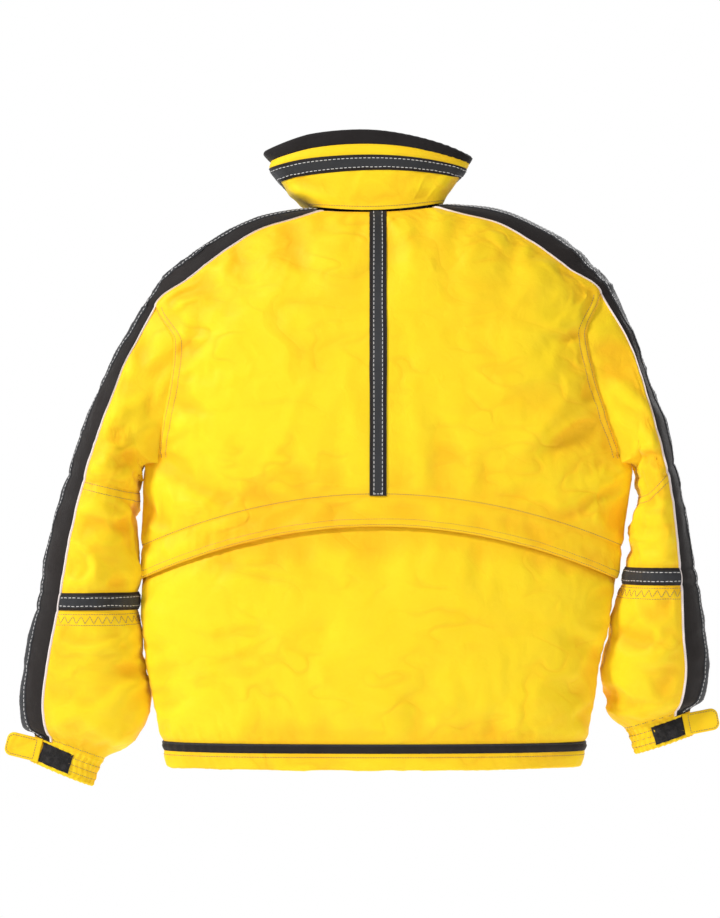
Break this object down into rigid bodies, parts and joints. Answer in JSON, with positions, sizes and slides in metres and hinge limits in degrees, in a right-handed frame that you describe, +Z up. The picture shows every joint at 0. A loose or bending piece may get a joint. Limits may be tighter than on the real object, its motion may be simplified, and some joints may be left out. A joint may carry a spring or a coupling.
{
  "type": "ski jacket",
  "caption": "Padded ski jacket, seen whole and hollow, with a standing collar, striped sleeves, a vent flap across the back, gathered cuffs and a full front zip.",
  "frame": {"origin": "in the hanger loop inside the back neck, which holds the jacket up", "axes": "+X to the wearer's right across the width, -Y the back, +Y the front with the zip, +Z up"},
  "size_m": [0.9303, 0.1581, 0.8522],
  "materials": {
    "yellow_shell": "matt woven shell cloth, padded",
    "black_shell": "matt woven shell cloth, warm black",
    "black_facing": "soft brushed facing cloth",
    "grey_ribbon": "ribbed woven tape, dark grey",
    "white_piping": "smooth bias piping",
    "lining": "smooth lining cloth",
    "zip_tape": "woven zip tape",
    "zip_teeth": "moulded teeth",
    "zip_metal": "satin nickel",
    "pull_cord": "moulded puller",
    "hook_tape": "loop side of a touch fastener"
  },
  "bodies": {
    "torso": {"upper_back_panel": "yellow_shell", "back_vent_flap": "yellow_shell", "lower_back_panel": "yellow_shell", "front_panel_left": "yellow_shell", "front_panel_right": "yellow_shell", "hem_strip": "yellow_shell", "collar_shell": "yellow_shell", "hem_stripe": "black_shell", "shoulder_panel_left": "black_shell", "shoulder_panel_right": "black_shell", "centre_back_band": "black_shell", "collar_band": "black_shell", "collar_facing": "black_facing", "hanger_loop": "black_facing", "shoulder_ribbon_left": "grey_ribbon", "shoulder_ribbon_right": "grey_ribbon", "centre_back_ribbon": "grey_ribbon", "collar_ribbon": "grey_ribbon", "shoulder_piping_left": "white_piping", "shoulder_piping_right": "white_piping", "lining_back": "lining", "lining_front_left": "lining", "lining_front_right": "lining", "pocket_bag_left": "lining", "pocket_bag_right": "lining", "pocket_zip_left": "zip_tape", "pocket_zip_right": "zip_tape", "zip_tape_left": "zip_tape", "zip_tape_right": "zip_tape", "zip_teeth_left": "zip_teeth", "zip_teeth_right": "zip_teeth", "zip_box": "zip_metal"},
    "sleeve_left": {"upper_sleeve_left": "yellow_shell", "lower_sleeve_left": "yellow_shell", "sleeve_panel_left": "black_shell", "sleeve_ribbon_left": "grey_ribbon", "sleeve_piping_left": "white_piping", "forearm_band_left": "black_shell", "cuff_elastic_left": "yellow_shell", "sleeve_lining_left": "lining", "cuff_patch_left": "hook_tape"},
    "tab_left": {"cuff_tab_left": "yellow_shell"},
    "pocket_slider_left": {"pocket_slider_left": "zip_metal"},
    "pocket_pull_left": {"pocket_pull_left": "pull_cord"},
    "sleeve_right": {"upper_sleeve_right": "yellow_shell", "lower_sleeve_right": "yellow_shell", "sleeve_panel_right": "black_shell", "sleeve_ribbon_right": "grey_ribbon", "sleeve_piping_right": "white_piping", "forearm_band_right": "black_shell", "cuff_elastic_right": "yellow_shell", "sleeve_lining_right": "lining", "cuff_patch_right": "hook_tape"},
    "tab_right": {"cuff_tab_right": "yellow_shell"},
    "pocket_slider_right": {"pocket_slider_right": "zip_metal"},
    "pocket_pull_right": {"pocket_pull_right": "pull_cord"},
    "zip_slider": {"zip_slider": "zip_metal"},
    "zip_pull": {"zip_pull": "pull_cord"}
  },
  "joints": [
    {"name": "sleeve_left_lift", "type": "hinge", "parent": "torso", "child": "sleeve_left", "pos_m": [-0.30988, 0.02, -0.12285], "axis": [0, 1, 0], "range_deg": [0, 25]},
    {"name": "cuff_tab_left_fold", "type": "hinge", "parent": "sleeve_left", "child": "tab_left", "pos_m": [-0.4356, 0.01454, -0.68588], "axis": [0.2402, 0, 0.9707], "range_deg": [0, 155]},
    {"name": "pocket_left_slide", "type": "slide", "parent": "torso", "child": "pocket_slider_left", "axis": [-0.0005, -0.0099, -1], "range_m": [0, 0.135]},
    {"name": "pocket_pull_left_swing", "type": "hinge", "parent": "pocket_slider_left", "child": "pocket_pull_left", "pos_m": [-0.17045, 0.093, -0.48495], "axis": [0.9922, 0.1243, 0], "range_deg": [0, 150]},
    {"name": "sleeve_right_lift", "type": "hinge", "parent": "torso", "child": "sleeve_right", "pos_m": [0.30982, 0.02, -0.10476], "axis": [0, -1, 0], "range_deg": [0, 25]},
    {"name": "cuff_tab_right_fold", "type": "hinge", "parent": "sleeve_right", "child": "tab_right", "pos_m": [0.39543, 0.01389, -0.65333], "axis": [0.2, 0, -0.9798], "range_deg": [0, 155]},
    {"name": "pocket_right_slide", "type": "slide", "parent": "torso", "child": "pocket_slider_right", "axis": [-0.0022, -0.017, -0.9999], "range_m": [0, 0.135]},
    {"name": "pocket_pull_right_swing", "type": "hinge", "parent": "pocket_slider_right", "child": "pocket_pull_right", "pos_m": [0.17047, 0.09308, -0.48498], "axis": [0.9924, -0.1231, 0], "range_deg": [0, 150]},
    {"name": "zip_slide", "type": "slide", "parent": "torso", "child": "zip_slider", "axis": [0, 0, -1], "range_m": [0, 0.69]},
    {"name": "zip_pull_swing", "type": "hinge", "parent": "zip_slider", "child": "zip_pull", "pos_m": [0, 0.0952, 0.0225], "axis": [1, 0, 0], "range_deg": [0, 150]}
  ]
}
